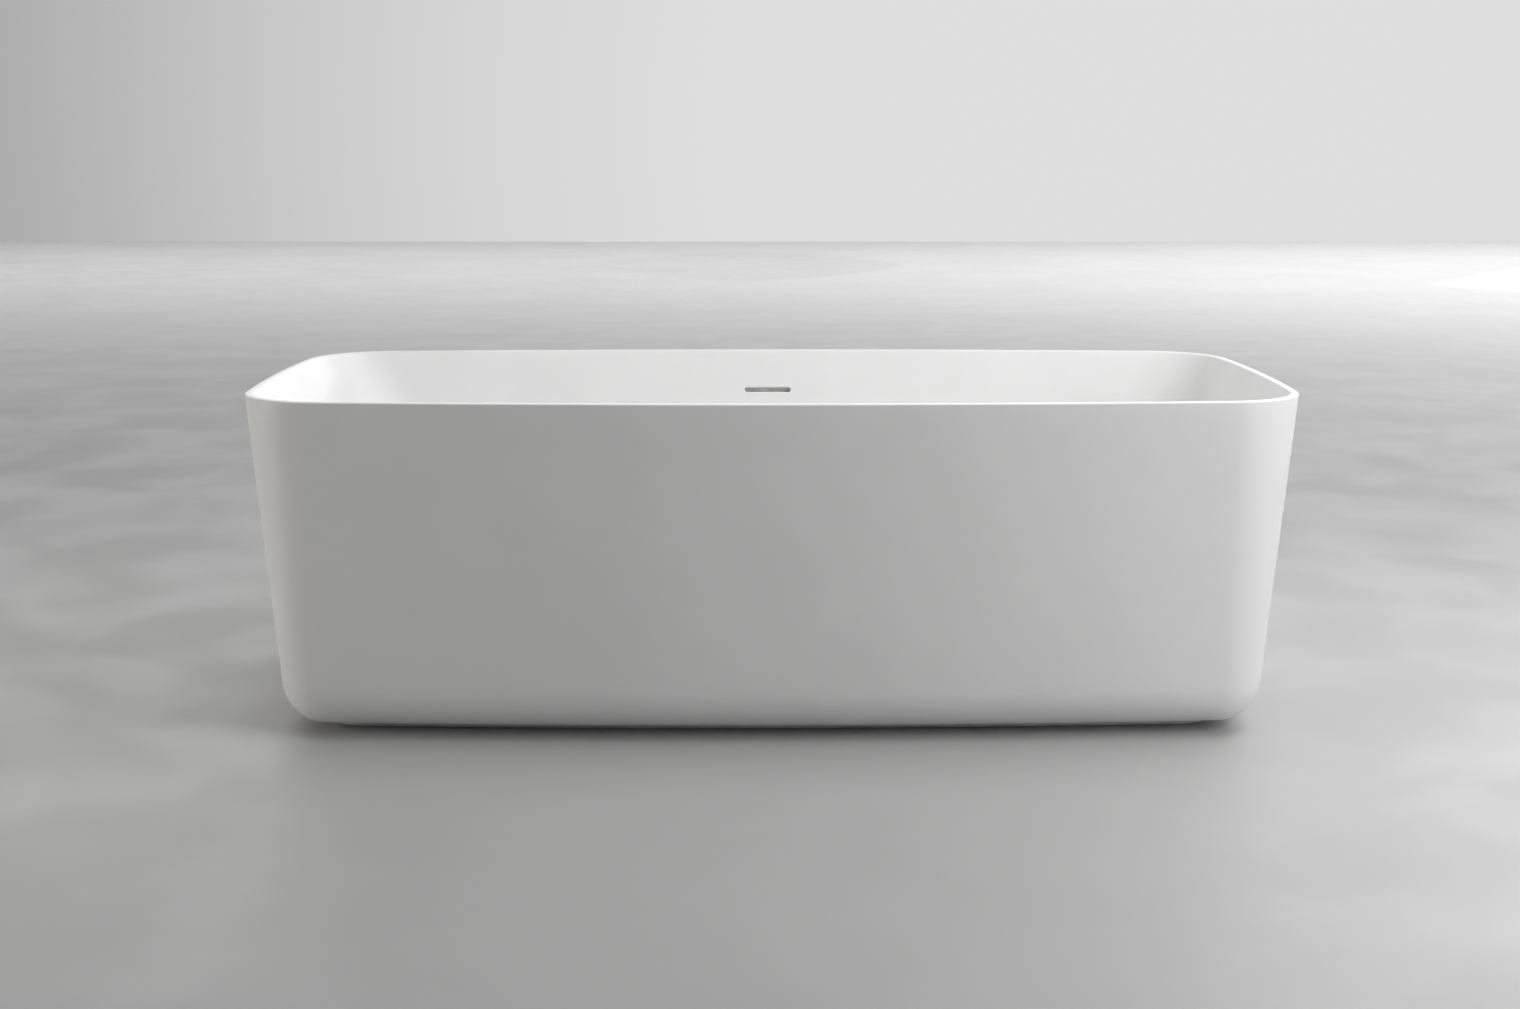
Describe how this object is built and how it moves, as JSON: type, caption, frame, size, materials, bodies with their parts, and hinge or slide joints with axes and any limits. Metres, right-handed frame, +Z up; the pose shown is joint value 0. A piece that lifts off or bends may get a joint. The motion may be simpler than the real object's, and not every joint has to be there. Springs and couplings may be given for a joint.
{
  "type": "freestanding bathtub",
  "caption": "White freestanding double-ended bathtub with a thin flat rim, bowed tapering sides, rounded corners, a slotted overflow and a shadow gap at the floor.",
  "frame": {"origin": "on the floor under the middle of the tub", "axes": "+X along the length, the overflow on the +Y side, +Z up"},
  "size_m": [1.6993, 0.7594, 0.55],
  "materials": {
    "solid_surface": "smooth matt to satin mineral-filled resin",
    "frame_steel": "dark powder-coated welded steel tube",
    "zinc_steel": "bright zinc-plated",
    "foot_plastic": "fine moulded texture",
    "black_plastic": "fine moulded texture",
    "support_wood": "sawn hardwood",
    "black_rubber": "matt",
    "polished_chrome": "polished",
    "brass": "machined",
    "white_plastic": "moulded satin",
    "hose_plastic": "flexible moulded"
  },
  "bodies": {
    "tub": {"outer_shell": "solid_surface", "basin": "solid_surface", "base_plinth": "solid_surface", "frame_rail_front": "frame_steel", "frame_rail_back": "frame_steel", "frame_cross_left_end": "frame_steel", "frame_cross_left": "frame_steel", "frame_cross_right": "frame_steel", "frame_cross_right_end": "frame_steel", "rail_end_caps": "black_plastic", "support_blocks": "support_wood", "support_pads": "black_rubber", "shell_brackets": "zinc_steel", "bracket_bolts": "zinc_steel", "flange_screws": "zinc_steel", "rail_inserts": "zinc_steel", "foot_lock_nuts": "zinc_steel", "waste_flange": "polished_chrome", "waste_seal_upper": "black_rubber", "waste_seal_lower": "black_rubber", "waste_body": "white_plastic", "plug_cartridge": "brass", "trap_body": "white_plastic", "trap_lid": "white_plastic", "trap_lid_gasket": "black_rubber", "trap_inlet_nut": "white_plastic", "trap_inlet_seal": "black_rubber", "trap_outlet_pipe": "white_plastic", "trap_outlet_seal": "black_rubber", "trap_outlet_nut": "white_plastic", "overflow_box": "white_plastic", "overflow_gasket": "black_rubber", "overflow_screws": "zinc_steel", "overflow_hose": "hose_plastic", "hose_clip_lower": "zinc_steel", "hose_clip_upper": "zinc_steel"},
    "foot_front_left": {"foot_pad_front_left": "foot_plastic", "foot_sole_front_left": "black_rubber"},
    "stud_front_left": {"foot_stud_front_left": "zinc_steel"},
    "foot_front_right": {"foot_pad_front_right": "foot_plastic", "foot_sole_front_right": "black_rubber"},
    "stud_front_right": {"foot_stud_front_right": "zinc_steel"},
    "foot_back_left": {"foot_pad_back_left": "foot_plastic", "foot_sole_back_left": "black_rubber"},
    "stud_back_left": {"foot_stud_back_left": "zinc_steel"},
    "foot_back_right": {"foot_pad_back_right": "foot_plastic", "foot_sole_back_right": "black_rubber"},
    "stud_back_right": {"foot_stud_back_right": "zinc_steel"},
    "plug": {"plug_cap": "polished_chrome", "plug_seal": "black_rubber", "plug_stem": "brass"}
  },
  "joints": [
    {"name": "foot_front_left_height", "type": "slide", "parent": "tub", "child": "foot_front_left", "axis": [0, 0, -1], "range_m": [0, 0.012]},
    {"name": "stud_front_left_turn", "type": "hinge", "parent": "foot_front_left", "child": "stud_front_left", "pos_m": [-0.52, -0.17, 0.03], "axis": [0, 0, -1], "range_deg": [0, 2480]},
    {"name": "foot_front_right_height", "type": "slide", "parent": "tub", "child": "foot_front_right", "axis": [0, 0, -1], "range_m": [0, 0.012]},
    {"name": "stud_front_right_turn", "type": "hinge", "parent": "foot_front_right", "child": "stud_front_right", "pos_m": [0.52, -0.17, 0.03], "axis": [0, 0, -1], "range_deg": [0, 2480]},
    {"name": "foot_back_left_height", "type": "slide", "parent": "tub", "child": "foot_back_left", "axis": [0, 0, -1], "range_m": [0, 0.012]},
    {"name": "stud_back_left_turn", "type": "hinge", "parent": "foot_back_left", "child": "stud_back_left", "pos_m": [-0.52, 0.17, 0.03], "axis": [0, 0, -1], "range_deg": [0, 2480]},
    {"name": "foot_back_right_height", "type": "slide", "parent": "tub", "child": "foot_back_right", "axis": [0, 0, -1], "range_m": [0, 0.012]},
    {"name": "stud_back_right_turn", "type": "hinge", "parent": "foot_back_right", "child": "stud_back_right", "pos_m": [0.52, 0.17, 0.03], "axis": [0, 0, -1], "range_deg": [0, 2480]},
    {"name": "plug_lift", "type": "slide", "parent": "tub", "child": "plug", "axis": [0, 0, 1], "range_m": [0, 0.009]}
  ],
  "couplings": [
    {"joint": "stud_front_left_turn", "follows": "foot_front_left_height", "rad_per_m": 3590.4},
    {"joint": "stud_front_right_turn", "follows": "foot_front_right_height", "rad_per_m": 3590.4},
    {"joint": "stud_back_left_turn", "follows": "foot_back_left_height", "rad_per_m": 3590.4},
    {"joint": "stud_back_right_turn", "follows": "foot_back_right_height", "rad_per_m": 3590.4}
  ]
}
